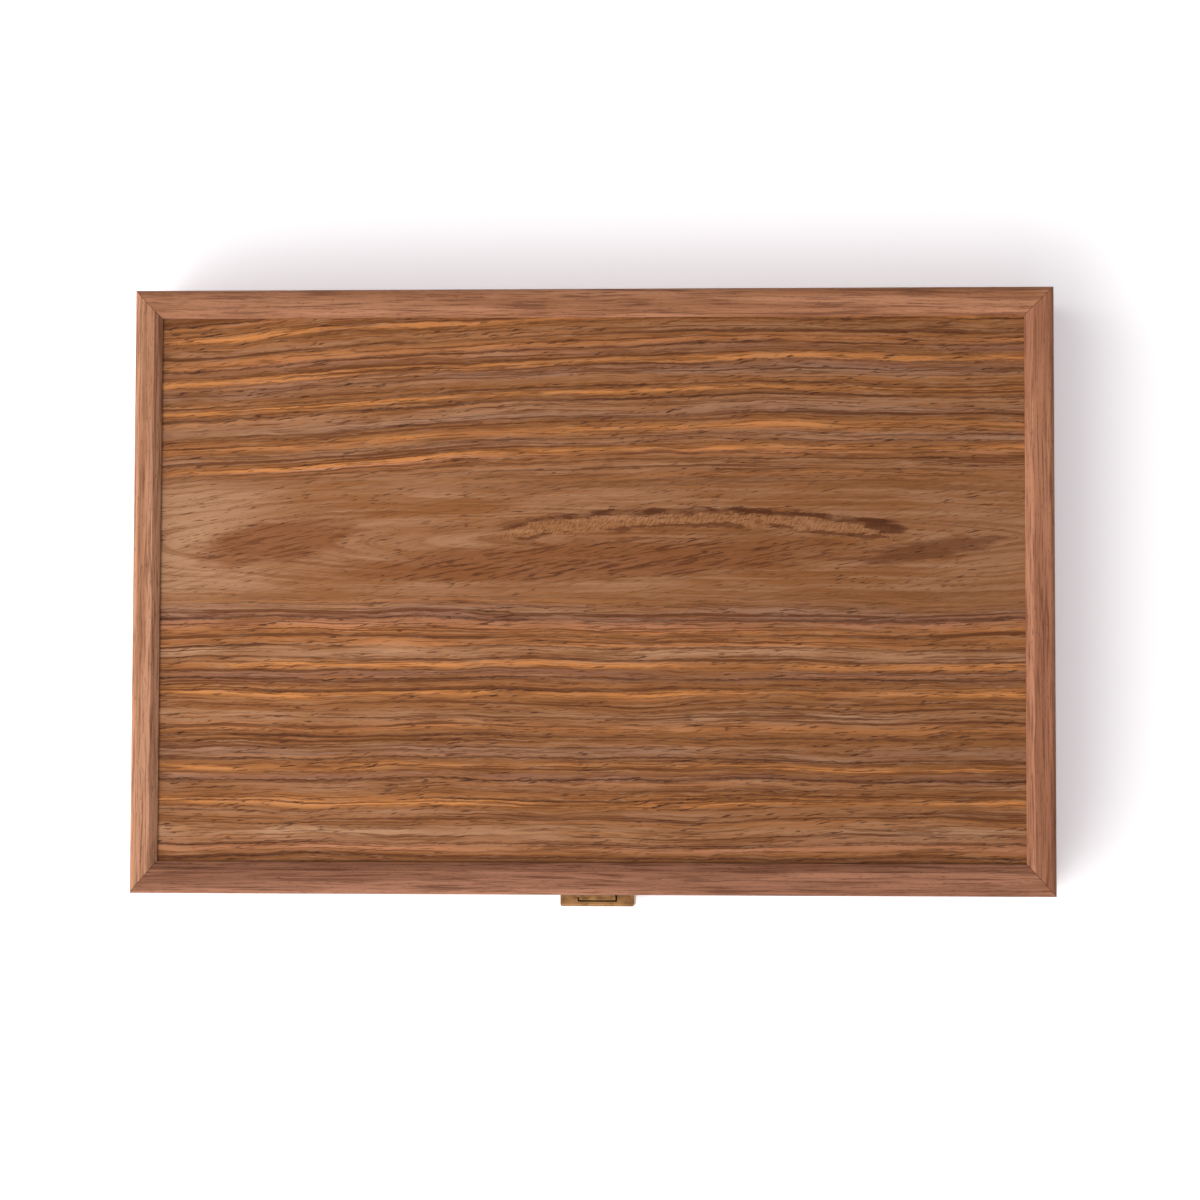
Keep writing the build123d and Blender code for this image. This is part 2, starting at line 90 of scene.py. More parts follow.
SPECULAR = 0.10


class Shader:
    """A material with a Principled surface, and helpers that add nodes to it."""

    def __init__(self, name, roughness=0.45, metallic=0.0):
        self.material = bpy.data.materials.new(name)
        self.material.use_nodes = True
        self.tree = self.material.node_tree
        self.surface = self.tree.nodes["Principled BSDF"]
        self.surface.inputs["Roughness"].default_value = roughness
        self.surface.inputs["Metallic"].default_value = metallic
        self.surface.inputs["Specular IOR Level"].default_value = SPECULAR
        coordinates = self.tree.nodes.new("ShaderNodeTexCoord")
        scaled = self.tree.nodes.new("ShaderNodeVectorMath")
        scaled.operation = "SCALE"
        scaled.inputs["Scale"].default_value = 1 / MM
        self.tree.links.new(coordinates.outputs["Object"], scaled.inputs[0])
        split = self.tree.nodes.new("ShaderNodeSeparateXYZ")
        self.tree.links.new(scaled.outputs[0], split.inputs[0])
        self.x, self.y, self.z = split.outputs

    def feed(self, socket, value):
        if isinstance(value, bpy.types.NodeSocket):
            self.tree.links.new(value, socket)
        elif value is not None:
            socket.default_value = value

    def math(self, operation, first, second=None):
        node = self.tree.nodes.new("ShaderNodeMath")
        node.operation = operation
        self.feed(node.inputs[0], first)
        self.feed(node.inputs[1], second)
        return node.outputs[0]

    def add(self, first, second):
        return self.math("ADD", first, second)

    def subtract(self, first, second):
        return self.math("SUBTRACT", first, second)

    def times(self, first, second):
        return self.math("MULTIPLY", first, second)

    def step(self, value, low, high, to_low=0.0, to_high=1.0):
        """value taken smoothly from low..high to to_low..to_high."""
        node = self.tree.nodes.new("ShaderNodeMapRange")
        node.interpolation_type = "SMOOTHSTEP"
        self.feed(node.inputs["Value"], value)
        node.inputs["From Min"].default_value = low
        node.inputs["From Max"].default_value = high
        node.inputs["To Min"].default_value = to_low
        node.inputs["To Max"].default_value = to_high
        return node.outputs[0]

    def within(self, value, rise, fall):
        """1 between two soft edges, each given as its places at 0 and at 1."""
        return self.times(self.step(value, *rise), self.step(value, *fall))

    def noise(self, x, y, z, length, width, detail=3.0, roughness=0.55):
        """Noise whose lumps are about length along x, and width along y and z."""
        vector = self.tree.nodes.new("ShaderNodeCombineXYZ")
        for socket, value, size in zip(vector.inputs, (x, y, z), (length, width, width)):
            self.feed(socket, self.math("DIVIDE", value, size))
        node = self.tree.nodes.new("ShaderNodeTexNoise")
        self.tree.links.new(vector.outputs[0], node.inputs["Vector"])
        node.inputs["Scale"].default_value = 1.0
        node.inputs["Detail"].default_value = detail
        node.inputs["Roughness"].default_value = roughness
        return node.outputs["Fac"]

    def mix(self, factor, first, second, blend="MIX"):
        node = self.tree.nodes.new("ShaderNodeMix")
        node.data_type = "RGBA"
        node.blend_type = blend
        colour_inputs = [s for s in node.inputs if s.type == "RGBA"]
        self.feed(node.inputs["Factor"], factor)
        self.feed(colour_inputs[0], first)
        self.feed(colour_inputs[1], second)
        return [s for s in node.outputs if s.type == "RGBA"][0]

    def tint(self, colour, amount, low, high, strength, tone):
        """colour taken towards tone, by strength at most, as amount goes from low to high."""
        return self.mix(self.step(amount, low, high, 0.0, strength), colour, tone)

    def ramp(self, factor, stops):
        """A colour ramp over 0..1, its stops as (position, colour)."""
        node = self.tree.nodes.new("ShaderNodeValToRGB")
        elements = node.color_ramp.elements
        elements[0].position, elements[0].color = stops[0]
        elements[1].position, elements[1].color = stops[-1]
        for position, colour in stops[1:-1]:
            element = elements.new(position)
            element.color = colour
        self.feed(node.inputs[0], factor)
        return node.outputs[0]

    def bump(self, height, strength, distance):
        node = self.tree.nodes.new("ShaderNodeBump")
        node.inputs["Strength"].default_value = strength
        node.inputs["Distance"].default_value = distance
        self.tree.links.new(height, node.inputs["Height"])
        self.tree.links.new(node.outputs[0], self.surface.inputs["Normal"])

    def colour(self, value):
        self.feed(self.surface.inputs["Base Color"], value)

    def roughness(self, value):
        self.feed(self.surface.inputs["Roughness"], value)


# The colours of the figured veneer
ORANGE = linear(216, 140, 78)
SOFT_ORANGE = linear(190, 122, 72)
PINK = linear(190, 126, 88)
LIGHT_TAN = linear(188, 142, 108)
TAN = linear(166, 116, 82)
GREY_TAN = linear(160, 118, 92)
MAUVE = linear(144, 98, 76)
BROWN = linear(148, 94, 54)
DEEP = linear(124, 75, 40)
RUSSET = linear(136, 82, 47)
SEAM = linear(100, 55, 28)
DARK = linear(62, 29, 16)
FLAME = linear(84, 42, 20)
PALE_FLECK = linear(180, 127, 86)
# SHADE is multiplied into the veneer towards its right end: painted shade where the light from
# the left falls off
SHADE = linear(176, 172, 170)

# The veneer's growth rings, in millimetres from its eye: the bands and the dark lines between
EYE_ABOVE_CENTRE = 20.9
UPPER_BANDS = [
    (24.8, BROWN), (29.8, TAN), (33.5, BROWN), (35.0, PINK), (36.4, ORANGE), (38.4, BROWN),
    (41.0, GREY_TAN), (43.4, TAN), (44.9, SOFT_ORANGE), (46.3, ORANGE), (47.8, BROWN),
    (49.6, BROWN), (52.5, GREY_TAN), (56.5, TAN), (60.2, BROWN), (61.6, ORANGE), (63.0, BROWN),
    (65.8, BROWN), (68.6, GREY_TAN), (71.5, MAUVE), (74.2, ORANGE), (76.0, BROWN),
    (78.6, MAUVE), (82.7, SOFT_ORANGE), (84.6, BROWN), (87.0, TAN), (89.4, BROWN),
    (92.4, ORANGE), (94.2, BROWN), (96.5, BROWN), (101.0, DEEP),
]
UPPER_LINES = [
    (32.3, 0.6), (42.0, 0.6), (50.8, 0.7), (58.7, 0.9), (63.9, 0.8),
    (72.5, 0.8), (80.0, 1.0), (85.6, 0.7), (90.5, 0.8), (98.4, 0.9),
]
LOWER_BANDS = [
    (24.8, BROWN), (29.0, GREY_TAN), (31.8, MAUVE), (35.4, PINK), (37.6, SOFT_ORANGE),
    (39.5, BROWN), (42.6, SOFT_ORANGE), (46.3, LIGHT_TAN), (49.4, TAN), (52.0, ORANGE),
    (53.6, BROWN), (55.4, MAUVE), (60.2, BROWN), (63.9, ORANGE), (65.3, BROWN),
    (69.9, BROWN), (72.4, LIGHT_TAN), (75.0, TAN), (77.9, SOFT_ORANGE), (79.6, BROWN),
    (83.6, BROWN), (87.7, GREY_TAN), (91.8, BROWN), (94.0, ORANGE), (95.6, BROWN),
    (97.6, MAUVE), (100.5, TAN), (104.4, BROWN), (108.5, ORANGE), (110.2, BROWN), (112.1, TAN),
]
LOWER_LINES = [
    (32.6, 1.0), (44.5, 0.9), (57.5, 1.0), (62.4, 0.6), (81.4, 0.7),
    (90.2, 0.8), (99.0, 1.0), (106.6, 0.6), (115.0, 0.9),
]
EDGE_BANDS = [
    (112.1, TAN), (116.6, BROWN), (119.9, LIGHT_TAN), (123.2, TAN), (127.4, PINK),
    (129.0, BROWN), (132.3, DEEP),
]
EDGE_LINES = [(125.1, 0.8), (130.7, 0.8)]
EDGE_START = (111.9, 112.2)
RING_SPAN = 140.0
LINE_HALF_WIDTH = 0.6

# Layers of noise drawn out along the grain: where in the noise each lies, the length and width
# of its lumps, its detail and its roughness
GRAINS = {
    "slow_wave": (3.1, 95.0, 26.0, 2.0, 0.55),
    "quick_wave": (7.7, 14.0, 5.0, 4.0, 0.55),
    "rings": (21.7, 260.0, 1.3, 3.0, 0.6),
    "clouds": (1.3, 60.0, 7.0, 3.0, 0.55),
    "streaks": (5.2, 36.0, 1.5, 5.0, 0.65),
    "threads": (9.4, 20.0, 0.7, 3.0, 0.6),
    "glints": (12.9, 15.0, 0.9, 3.0, 0.6),
    "eye_clouds": (2.2, 60.0, 5.0, 4.0, 0.6),
    "eye_lines": (17.3, 90.0, 1.1, 3.0, 0.6),
    "eye_grain": (4.4, 20.0, 1.0, 4.0, 0.65),
    "scratches": (14.1, 12.0, 0.9, 2.0, 0.5),
    "patch_edge": (0.0, 16.0, 2.2, 5.0, 0.55),
    "flame_edge": (6.0, 11.0, 2.4, 6.0, 0.7),
    "flame_breaks": (11.0, 12.0, 3.0, 2.0, 0.55),
    "flame_wear": (12.5, 14.0, 6.0, 3.0, 0.55),
    "shake": (8.8, 3.2, 1.4, 5.0, 0.55),
    "stretches": (2.9, 55.0, 6.0, 3.0, 0.55),
    "level_pores": (0.4, 6.0, 0.65, 2.0, 0.5),
    "slanted_pores": (0.7, 5.5, 0.65, 2.0, 0.5),
    "pore_patches": (6.6, 30.0, 5.0, 2.0, 0.55),
}

# Tints laid over the rings: the layer, where in its noise the tint starts and is full, its
# strength and its tone
RING_TINTS = [
    ("clouds", 0.42, 0.62, 0.65, BROWN),
    ("rings", 0.46, 0.32, 0.45, SOFT_ORANGE),
    ("streaks", 0.51, 0.62, 0.7, DEEP),
    ("streaks", 0.46, 0.32, 0.3, LIGHT_TAN),
    ("rings", 0.54, 0.62, 0.8, SEAM),
    ("threads", 0.55, 0.63, 0.65, SEAM),
    ("glints", 0.54, 0.68, 0.3, LIGHT_TAN),
]

# The rings' gentle waves, and how they climb from the left side to a crest above the eye
SLOW_WAVE = 7.0
QUICK_WAVE = 1.7
CREST_X = 106.0
CREST_REACH = 283.0
CREST_FALL = 11.6
CREST_RISE = 1.6
CLIMB_START = (4.0, 30.0)

# The eye: where it gives way to the rings, how its own rings bend, and its brown patches, each
# by its middle, half length, half height, slope and raggedness
EYE_REACH = (29.0, 18.0)
EYE_MIDDLE_X = 40.0
EYE_HALF_LENGTH = 167.0
EYE_BEND = 9.0
EYE_SLOPE = 0.19
PALE_END = (-110.0, -172.0)
LEFT_PATCH = (-131.0, 19.7, 34.0, 8.6, 0.14, 0.7)
EYE_CORE = (5.0, 12.6, 108.0, 8.2, 0.04, 0.35)
RIGHT_PATCH = (138.0, 16.6, 30.0, 4.2, 0.14, 0.8)

# The flame, an arch that sags towards its ends, and its parts by their depth under the arch
FLAME_MIDDLE_X = 44.4
FLAME_HEIGHT = 33.7
FLAME_SAG = 6.6
FLAME_HALF_LENGTH = 82.7
FLAME_RAGGED = 8.0
FLAME_ENDS = (88.0, 74.0)
FLAME_LINE = ((-1.2, -0.2), (2.6, 1.3))
FLAME_BODY = ((1.0, 1.8), (8.6, 6.0))
FLAME_LOWER_EDGE = ((5.6, 6.4), (9.0, 7.6))
FLAME_TIP = (120.0, 26.5, 10.0, 3.0, -0.2, 0.8)
FLECK_LENGTH = 2.6
FLECK_WIDTH = 0.6
FLECK_PLACE = 0.6
FLECK_TURN = (0.6, 0.9)

# Dark lines, pores, and painted shade that darkens the veneer from its left end to its right
LINE_SHAKE = 1.5
FIBRE_CLIMB = 0.12
PORES = (0.59, 0.68)
PORE_STRENGTH = 0.8
RIGHT_END_SHADE = 0.40
VENEER_ROUGHNESS = (0.40, 0.62)
VENEER_RELIEF = 0.00014


class FiguredVeneer(Shader):
    """Flat-sawn veneer with an eye in the middle and banded rings above and below it."""

    def __init__(self, name, turned=False):
        super().__init__(name)
        if turned:
            self.x = self.times(self.x, -1.0)
        self.height = self.subtract(self.y, case_centre_y)
        self.measure_rings()
        self.layers = {
            layer: self.grain(layer, self.ring_height)
            for layer in ("rings", "clouds", "streaks", "threads", "glints")
        }
        colour = self.ring_colour()
        for layer, low, high, strength, tone in RING_TINTS:
            colour = self.tint(colour, self.layers[layer], low, high, strength, tone)
        colour = self.mix(self.in_eye, colour, self.eye_colour())
        colour = self.flamed(colour)
        lines = self.dark_lines()
        pores = self.pores()
        colour = self.mix(lines, colour, DARK)
        colour = self.mix(self.times(pores, PORE_STRENGTH), colour, DARK)
        # painted shade darkens the veneer towards its right end
        self.colour(self.painted_falloff_shade(colour))
        self.roughness(self.step(pores, 0.0, 1.0, *VENEER_ROUGHNESS))
        streaks = self.times(self.layers["streaks"], 0.4)
        relief = self.subtract(streaks, self.add(pores, self.times(lines, 0.4)))
        self.bump(relief, 0.35, VENEER_RELIEF)

    def grain(self, layer, height):
        """One of GRAINS along x, at a height measured across the grain."""
        place, length, width, detail, roughness = GRAINS[layer]
        return self.noise(
            self.x, height, place, length, width, detail=detail, roughness=roughness
        )

    def measure_rings(self):
        """The distances above and below the eye that the bands follow."""
        slow = self.subtract(self.grain("slow_wave", self.height), 0.5)
        quick = self.subtract(self.grain("quick_wave", self.height), 0.5)
        waves = self.add(self.times(slow, SLOW_WAVE), self.times(quick, QUICK_WAVE))
        waved = self.add(self.height, waves)
        from_crest = self.math("DIVIDE", self.subtract(self.x, CREST_X), CREST_REACH)
        fall = self.times(self.times(from_crest, from_crest), CREST_FALL)
        climb = self.subtract(fall, CREST_RISE)
        self.above = self.subtract(waved, EYE_ABOVE_CENTRE)
        climbing = self.step(self.above, *CLIMB_START)
        rise = self.add(self.above, self.times(climb, climbing))
        self.upper_ring = self.math("MAXIMUM", rise, 0.0)
        self.lower_ring = self.math("MAXIMUM", self.times(self.above, -1.0), 0.0)
        self.ring_height = self.add(self.times(self.lower_ring, -1.0), self.upper_ring)
        self.is_upper = self.step(self.above, -1.0, 1.0)
        self.is_edge = self.step(self.lower_ring, *EDGE_START)
        self.in_eye = self.step(self.math("ABSOLUTE", self.above), *EYE_REACH)
        self.sheared = self.subtract(self.height, self.times(self.x, EYE_SLOPE))

    def bands(self, ring, stops):
        share = self.math("DIVIDE", ring, RING_SPAN)
        return self.ramp(share, [(place / RING_SPAN, colour) for place, colour in stops])

    def line_mask(self, ring, lines):
        """Grey by ring distance: each line's strength at its place, black beside it."""
        stops = [(0.0, (0, 0, 0, 1))]
        for place, strength in lines:
            stops.append(((place - LINE_HALF_WIDTH) / RING_SPAN, (0, 0, 0, 1)))
            stops.append((place / RING_SPAN, (strength, strength, strength, 1)))
            stops.append(((place + LINE_HALF_WIDTH) / RING_SPAN, (0, 0, 0, 1)))
        share = self.math("DIVIDE", ring, RING_SPAN)
        return self.ramp(share, stops)

    def blob(self, middle_x, middle_y, half_length, half_height, slope, ragged):
        """A soft-edged patch, 1 inside and 0 outside, its edge broken by noise."""
        along = self.subtract(self.x, middle_x)
        across = self.subtract(self.height, middle_y)
        across = self.subtract(across, self.times(along, slope))
        squares = self.add(
            self.math("POWER", self.math("DIVIDE", along, half_length), 2.0),
            self.math("POWER", self.math("DIVIDE", across, half_height), 2.0),
        )
        edge = self.subtract(self.grain("patch_edge", self.height), 0.5)
        distance = self.add(squares, self.times(edge, 4 * ragged))
        return self.step(distance, 0.45, 1.35, 1.0, 0.0)

    def ring_colour(self):
        lower = self.mix(
            self.is_edge,
            self.bands(self.lower_ring, LOWER_BANDS),
            self.bands(self.lower_ring, EDGE_BANDS),
        )
        return self.mix(self.is_upper, lower, self.bands(self.upper_ring, UPPER_BANDS))

    def eye_colour(self):
        """Pale, ringed by fine lines, with brown patches that hold slanted dark dashes."""
        from_middle = self.math("ABSOLUTE", self.subtract(self.x, EYE_MIDDLE_X))
        share = self.math("DIVIDE", from_middle, EYE_HALF_LENGTH)
        bend = self.times(self.math("POWER", share, 1.5), EYE_BEND)
        squares = self.add(self.times(self.above, self.above), self.times(bend, bend))
        eye_ring = self.math("SQRT", squares)
        clouds = self.grain("eye_clouds", eye_ring)
        lines = self.grain("eye_lines", eye_ring)
        fibres = self.grain("eye_grain", self.sheared)
        eye = self.tint(TAN, clouds, 0.38, 0.62, 1.0, BROWN)
        eye = self.tint(eye, self.x, *PALE_END, 0.7, LIGHT_TAN)
        eye = self.tint(eye, lines, 0.53, 0.62, 0.5, DEEP)
        eye = self.tint(eye, lines, 0.46, 0.38, 0.35, LIGHT_TAN)
        eye = self.tint(eye, fibres, 0.52, 0.62, 0.4, DEEP)
        patch = self.times(self.blob(*LEFT_PATCH), 0.75)
        core = self.blob(*EYE_CORE)
        eye = self.mix(patch, eye, RUSSET)
        eye = self.mix(self.times(core, 0.7), eye, RUSSET)
        eye = self.mix(self.times(self.blob(*RIGHT_PATCH), 0.65), eye, SEAM)
        scratches = self.step(self.grain("scratches", self.sheared), 0.53, 0.61)
        scratched = self.times(scratches, self.math("MAXIMUM", core, patch))
        return self.mix(self.times(scratched, 0.85), eye, SEAM)

    def flamed(self, colour):
        """An arched dark line with a flecked, lighter body and a broken lower edge."""
        along = self.subtract(self.x, FLAME_MIDDLE_X)
        sag = self.times(self.times(along, along), FLAME_SAG / FLAME_HALF_LENGTH**2)
        arch = self.subtract(FLAME_HEIGHT, sag)
        ragged = self.subtract(self.grain("flame_edge", self.height), 0.5)
        under = self.add(self.subtract(arch, self.height), self.times(ragged, FLAME_RAGGED))
        ends = self.step(self.math("ABSOLUTE", along), *FLAME_ENDS)
        body = self.times(self.within(under, *FLAME_BODY), ends)
        line = self.times(self.within(under, *FLAME_LINE), ends)
        lower = self.times(self.within(under, *FLAME_LOWER_EDGE), ends)
        broken = self.step(self.grain("flame_breaks", self.height), 0.45, 0.55)
        worn = self.step(self.grain("flame_wear", self.height), 0.38, 0.58, 0.35, 0.9)
        colour = self.mix(self.times(body, 0.6), colour, self.flecks())
        colour = self.mix(self.times(line, worn), colour, FLAME)
        colour = self.mix(self.times(lower, self.times(broken, 0.8)), colour, SEAM)
        return self.mix(self.times(self.blob(*FLAME_TIP), 0.8), colour, FLAME)

    def flecks(self):
        """Short slanted flecks, the flame's body."""
        small, large = FLECK_TURN
        turned_x = self.add(self.times(self.x, small), self.times(self.height, large))
        turned_y = self.subtract(self.times(self.height, small), self.times(self.x, large))
        flecks = self.noise(turned_x, turned_y, FLECK_PLACE, FLECK_LENGTH, FLECK_WIDTH)
        return self.tint(PALE_FLECK, flecks, 0.44, 0.58, 1.0, RUSSET)

    def dark_lines(self):
        """The dark lines between the rings, strong in some stretches and faint in others."""
        shake = self.subtract(self.grain("shake", self.height), 0.5)
        shake = self.times(shake, LINE_SHAKE)
        upper_ring = self.add(self.upper_ring, shake)
        lower_ring = self.add(self.lower_ring, shake)
        lower = self.mix(
            self.is_edge,
            self.line_mask(lower_ring, LOWER_LINES),
            self.line_mask(lower_ring, EDGE_LINES),
        )
        lines = self.mix(self.is_upper, lower, self.line_mask(upper_ring, UPPER_LINES))
        stretches = self.grain("stretches", self.ring_height)
        lines = self.times(lines, self.step(stretches, 0.32, 0.56, 0.35, 1.0))
        return self.times(lines, self.subtract(1.0, self.in_eye))

    def pores(self):
        """Short dark dashes, level in the rings and slanted in the eye."""
        fibre = self.subtract(self.ring_height, self.times(self.x, FIBRE_CLIMB))
        level = self.step(self.grain("level_pores", fibre), *PORES)
        slanted = self.step(self.grain("slanted_pores", self.sheared), *PORES)
        dash = self.add(
            self.times(level, self.subtract(1.0, self.in_eye)),
            self.times(slanted, self.in_eye),
        )
        patches = self.grain("pore_patches", self.height)
        return self.times(dash, self.step(patches, 0.38, 0.60, 0.3, 1.0))

    def painted_falloff_shade(self, colour):
        """Painted shade: the sheet darkened from its left end to its right, where the light from
        the left falls off.
        """
        rightwards = self.step(self.x, case_low.x, case_high.x)
        darker = self.mix(1.0, colour, SHADE, "MULTIPLY")
        return self.mix(self.times(rightwards, RIGHT_END_SHADE), colour, darker)


# Plain woods: grain along one direction, with pores. Tones are the base, dark and light ones
CORE_TONES = (linear(196, 164, 122), linear(160, 126, 88), linear(212, 184, 144))
FIELD_TONES = (linear(150, 102, 70), linear(104, 66, 44), linear(172, 124, 90))
LIGHT_INLAY_TONES = (linear(212, 178, 130), linear(184, 146, 98), linear(224, 194, 150))
DARK_INLAY_TONES = (linear(74, 48, 36), linear(44, 28, 22), linear(92, 62, 46))
DIVIDER_TONES = (linear(152, 103, 76), linear(110, 70, 52), linear(172, 121, 93))
# The strips' tones differ by side: the left strip is the lightest and the front strip the darkest
STRIP_TONES = {
    "front": (linear(140, 92, 68), linear(92, 54, 37), linear(164, 112, 86)),
    "back": (linear(151, 100, 70), linear(98, 58, 40), linear(175, 121, 90)),
    "left": (linear(171, 118, 87), linear(118, 75, 53), linear(196, 142, 110)),
    "right": (linear(149, 97, 71), linear(104, 62, 43), linear(170, 116, 87)),
}
SIDES_ALONG_X = ("front", "back")
STRIP_OFFSET = 37.0
HALF_OFFSET = 151.0
MITRE_LINE = 0.28
GLUE_STRENGTH = 0.6
WOOD_WAVE = 3.0
WOOD_ROUGHNESS = (0.38, 0.52)
WOOD_RELIEF = 0.00010


def grained_wood(name, tones, along="X", offset=0.0, pores=0.6, joints=None):
    """Straight grain along X or Y, with a line of glue where joints says."""
    base, dark, light = tones
    s = Shader(name)
    lengthwise, crosswise = (s.x, s.y) if along == "X" else (s.y, s.x)
    depth = s.add(s.z, offset)
    wave = s.subtract(s.noise(lengthwise, crosswise, depth, 60.0, 12.0), 0.5)
    across = s.add(s.add(crosswise, s.times(wave, WOOD_WAVE)), offset)
    figure = s.noise(lengthwise, across, depth, 130.0, 5.0, detail=4.0)
    streaks = s.noise(lengthwise, across, depth, 30.0, 1.2, detail=5.0, roughness=0.65)
    threads = s.noise(lengthwise, across, depth, 14.0, 0.6)
    dashes = s.noise(lengthwise, across, depth, 3.4, 0.5, detail=2.0, roughness=0.5)
    dash = s.step(dashes, 0.61, 0.70)
    colour = s.tint(light, figure, 0.38, 0.62, 1.0, base)
    colour = s.tint(colour, streaks, 0.48, 0.66, 0.7, dark)
    colour = s.tint(colour, streaks, 0.46, 0.30, 0.6, light)
    colour = s.tint(colour, threads, 0.52, 0.66, 0.5, dark)
    colour = s.mix(s.times(dash, pores), colour, dark)
    if joints is not None:
        colour = s.mix(s.times(joints(s), GLUE_STRENGTH), colour, DARK)
    s.colour(colour)
    s.roughness(s.step(streaks, 0.3, 0.7, *WOOD_ROUGHNESS))
    s.bump(s.subtract(s.times(streaks, 0.4), dash), 0.25, WOOD_RELIEF)
    return s


def strip_width(side):
    """How wide one of the lid's strips looks from above."""
    low, high = extent(f"lid_{side}_rail")
    return high.y - low.y if side in SIDES_ALONG_X else high.x - low.x


def mitre_lines(s):
    """1 within a hairline of the four mitres, 0 elsewhere."""
    nearest = None
    for side_x, corner_x, inwards_x in (("left", case_low.x, 1), ("right", case_high.x, -1)):
        for side_y, corner_y, inwards_y in (("front", case_low.y, 1), ("back", case_high.y, -1)):
            width_x = strip_width(side_x)
            width_y = strip_width(side_y)
            length = math.hypot(width_x, width_y)
            across = s.times(s.subtract(s.x, corner_x), inwards_x)
            along = s.times(s.subtract(s.y, corner_y), inwards_y)
            aside = s.subtract(
                s.times(across, width_y / length),
                s.times(along, width_x / length),
            )
            past_corner = s.math("MAXIMUM", s.subtract(across, width_x), 0.0)
            distance = s.add(s.math("ABSOLUTE", aside), past_corner)
            nearest = distance if nearest is None else s.math("MINIMUM", nearest, distance)
    return s.step(nearest, MITRE_LINE, 0.0)


def dress(node, shader):
    mesh = NODES[node].data
    mesh.materials.clear()
    mesh.materials.append(shader.material)


def dress_strips():
    """Each strip its side's tones and its own grain along it, and a hairline of glue at each
    mitre.
    """
    for index, (side, tones) in enumerate(STRIP_TONES.items()):
        along = "X" if side in SIDES_ALONG_X else "Y"
        for half_index, half in enumerate(("lid", "base")):
            offset = STRIP_OFFSET * index + HALF_OFFSET * half_index
            wood = grained_wood(
                f"{side}_strip_wood_{half}", tones, along, offset, joints=mitre_lines
            )
            dress(f"{half}_{side}_rail", wood)


# Metals
BRUSH_LENGTH = 9.0
BRUSH_WIDTH = 0.12
TARNISH_SIZE = 3.5
METAL_RELIEF = 0.00003


def brushed_metal(name, tone, worn, roughness=0.30):
    s = Shader(name, roughness=roughness, metallic=1.0)
    brush = s.noise(s.x, s.y, s.z, BRUSH_LENGTH, BRUSH_WIDTH)
    clouds = s.noise(s.x, s.y, s.z, TARNISH_SIZE, TARNISH_SIZE, detail=4.0)
    colour = s.tint(tone, clouds, 0.35, 0.70, 1.0, worn)
    s.colour(s.tint(colour, brush, 0.45, 0.75, 0.35, worn))
    s.roughness(s.step(brush, 0.3, 0.7, roughness - 0.06, roughness + 0.12))
    s.bump(brush, 0.12, METAL_RELIEF)
    return s


# Playing pieces
LIGHT_CHECKER_TONES = (linear(208, 172, 122), linear(178, 138, 92), linear(222, 190, 144))
DARK_CHECKER_TONES = (linear(84, 50, 36), linear(46, 28, 22), linear(104, 66, 48))
CHECKER_COUNT = 15
CHECKER_SHIFT = 41.3
CHECKER_RELIEF = 0.00006
DIE_SIZE = 12.0
DIE_TURN = math.radians(12.0)
DICE_FROM_RACK_Y = (-3.0, 4.0)
PIP_SPREAD = 4.5
FACE_SLACK = 0.03
IVORY = (linear(228, 220, 200), linear(216, 205, 180))
INK = linear(30, 26, 24)
FADED_INK = linear(44, 38, 34)
NUMBER_SIZE = 0.0105
NUMBER_THICKNESS = 0.00006

rack_low, rack_high = extent("checkers_light")
checker_pitch = (rack_high.x - rack_low.x) / CHECKER_COUNT
rack_y = (rack_low.y + rack_high.y) / 2


def turned_wood(name, tones):
    """Wood of the checkers: grain across each disc, different from one to the next."""
    base, dark, light = tones
    s = Shader(name, roughness=0.36)
    piece = s.math("FLOOR", s.math("DIVIDE", s.subtract(s.x, rack_low.x), checker_pitch))
    shifted = s.add(s.y, s.times(piece, CHECKER_SHIFT))
    across = s.add(s.z, s.times(s.y, 0.25))
    figure = s.noise(shifted, across, s.x, 40.0, 2.6, detail=4.0)
    streaks = s.noise(shifted, across, s.x, 12.0, 0.5, detail=5.0)
    colour = s.tint(light, figure, 0.35, 0.65, 1.0, base)
    s.colour(s.tint(colour, streaks, 0.46, 0.72, 0.7, dark))
    s.bump(streaks, 0.15, CHECKER_RELIEF)
    return s


def die_centres():
    """The two dice stand side by side along X: the outer corner of each gives its centre."""
    low, high = extent("dice")
    turned_reach = DIE_SIZE / 2 * (math.cos(DIE_TURN) + math.sin(DIE_TURN))
    middle_z = low.z + DIE_SIZE / 2
    first = Vector((low.x + turned_reach, rack_y + DICE_FROM_RACK_Y[0], middle_z))
    second = Vector((high.x - DIE_SIZE / 2, rack_y + DICE_FROM_RACK_Y[1], middle_z))
    return (first, DIE_TURN), (second, 0.0)


def pip_mask(s, centre, turn):
    """1 inside a die's dimples: below its faces, yet away from its rounded edges."""
    along = s.subtract(s.x, centre.x)
    across = s.subtract(s.y, centre.y)
    local_x = s.add(s.times(along, math.cos(turn)), s.times(across, math.sin(turn)))
    local_y = s.subtract(s.times(across, math.cos(turn)), s.times(along, math.sin(turn)))
    sides = [
        s.math("ABSOLUTE", local_x),
        s.math("ABSOLUTE", local_y),
        s.math("ABSOLUTE", s.subtract(s.z, centre.z)),
    ]
    most = s.math("MAXIMUM", s.math("MAXIMUM", sides[0], sides[1]), sides[2])
    least = s.math("MINIMUM", s.math("MINIMUM", sides[0], sides[1]), sides[2])
    total = s.add(s.add(sides[0], sides[1]), sides[2])
    middle = s.subtract(s.subtract(total, most), least)
    sunk = s.math("LESS_THAN", most, DIE_SIZE / 2 - FACE_SLACK)
    inside = s.math("LESS_THAN", middle, PIP_SPREAD)
    return s.times(sunk, inside)


def ivory_plastic(name):
    s = Shader(name, roughness=0.3)
    clouds = s.noise(s.x, s.y, s.z, 5.0, 5.0)
    return s, s.mix(s.step(clouds, 0.3, 0.7), *IVORY)


